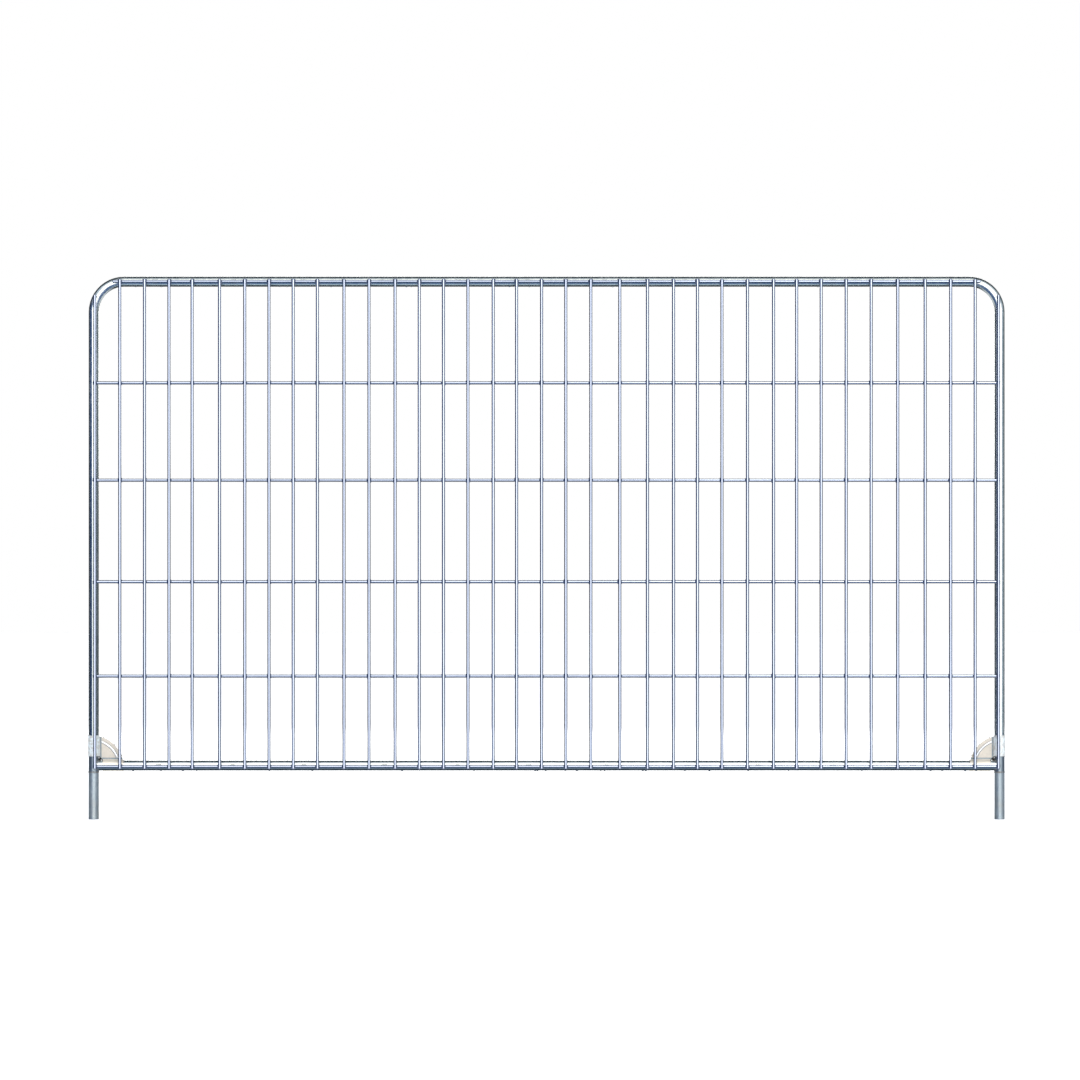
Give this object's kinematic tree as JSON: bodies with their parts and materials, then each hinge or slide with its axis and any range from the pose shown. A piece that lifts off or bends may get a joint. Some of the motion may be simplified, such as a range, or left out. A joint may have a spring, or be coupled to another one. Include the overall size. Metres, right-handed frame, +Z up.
{
  "type": "crowd control barrier",
  "caption": "Tall round-top barrier panel: bent tube hoop on two legs, bottom rail, corner gussets and a welded bar grid on one face.",
  "frame": {"origin": "on the ground, at the middle of the panel's length and depth", "axes": "+Z up, X along the panel, -Y is the face with the grid; Y is the panel's thickness"},
  "size_m": [3.454, 0.064, 2.044],
  "materials": {
    "galvanised_tube": "hot-dip galvanised, satin, with faint spangle",
    "galvanised_bar": "galvanised, bright satin, blue-grey",
    "galvanised_pressing": "galvanised sheet, pale and warm, matt",
    "weld_metal": "zinc-sprayed weld bead, rough, slightly browned"
  },
  "bodies": {
    "root": {"bottom_rail": "galvanised_tube", "hoop_tube": "galvanised_tube", "left_corner_gusset_front": "galvanised_pressing", "left_corner_gusset_rear": "galvanised_pressing", "left_leg": "galvanised_tube", "left_leg_weld": "weld_metal", "left_rail_weld": "weld_metal", "level_bar_1": "galvanised_bar", "level_bar_2": "galvanised_bar", "level_bar_3": "galvanised_bar", "level_bar_4": "galvanised_bar", "level_bar_5": "galvanised_bar", "level_bar_6": "galvanised_bar", "right_corner_gusset_front": "galvanised_pressing", "right_corner_gusset_rear": "galvanised_pressing", "right_leg": "galvanised_tube", "right_leg_weld": "weld_metal", "right_rail_weld": "weld_metal", "upright_bar_01": "galvanised_bar", "upright_bar_02": "galvanised_bar", "upright_bar_03": "galvanised_bar", "upright_bar_04": "galvanised_bar", "upright_bar_05": "galvanised_bar", "upright_bar_06": "galvanised_bar", "upright_bar_07": "galvanised_bar", "upright_bar_08": "galvanised_bar", "upright_bar_09": "galvanised_bar", "upright_bar_10": "galvanised_bar", "upright_bar_11": "galvanised_bar", "upright_bar_12": "galvanised_bar", "upright_bar_13": "galvanised_bar", "upright_bar_14": "galvanised_bar", "upright_bar_15": "galvanised_bar", "upright_bar_16": "galvanised_bar", "upright_bar_17": "galvanised_bar", "upright_bar_18": "galvanised_bar", "upright_bar_19": "galvanised_bar", "upright_bar_20": "galvanised_bar", "upright_bar_21": "galvanised_bar", "upright_bar_22": "galvanised_bar", "upright_bar_23": "galvanised_bar", "upright_bar_24": "galvanised_bar", "upright_bar_25": "galvanised_bar", "upright_bar_26": "galvanised_bar", "upright_bar_27": "galvanised_bar", "upright_bar_28": "galvanised_bar", "upright_bar_29": "galvanised_bar", "upright_bar_30": "galvanised_bar", "upright_bar_31": "galvanised_bar", "upright_bar_32": "galvanised_bar", "upright_bar_33": "galvanised_bar", "upright_bar_34": "galvanised_bar", "upright_bar_35": "galvanised_bar", "upright_bar_36": "galvanised_bar", "upright_bar_37": "galvanised_bar"}
  },
  "joints": []
}
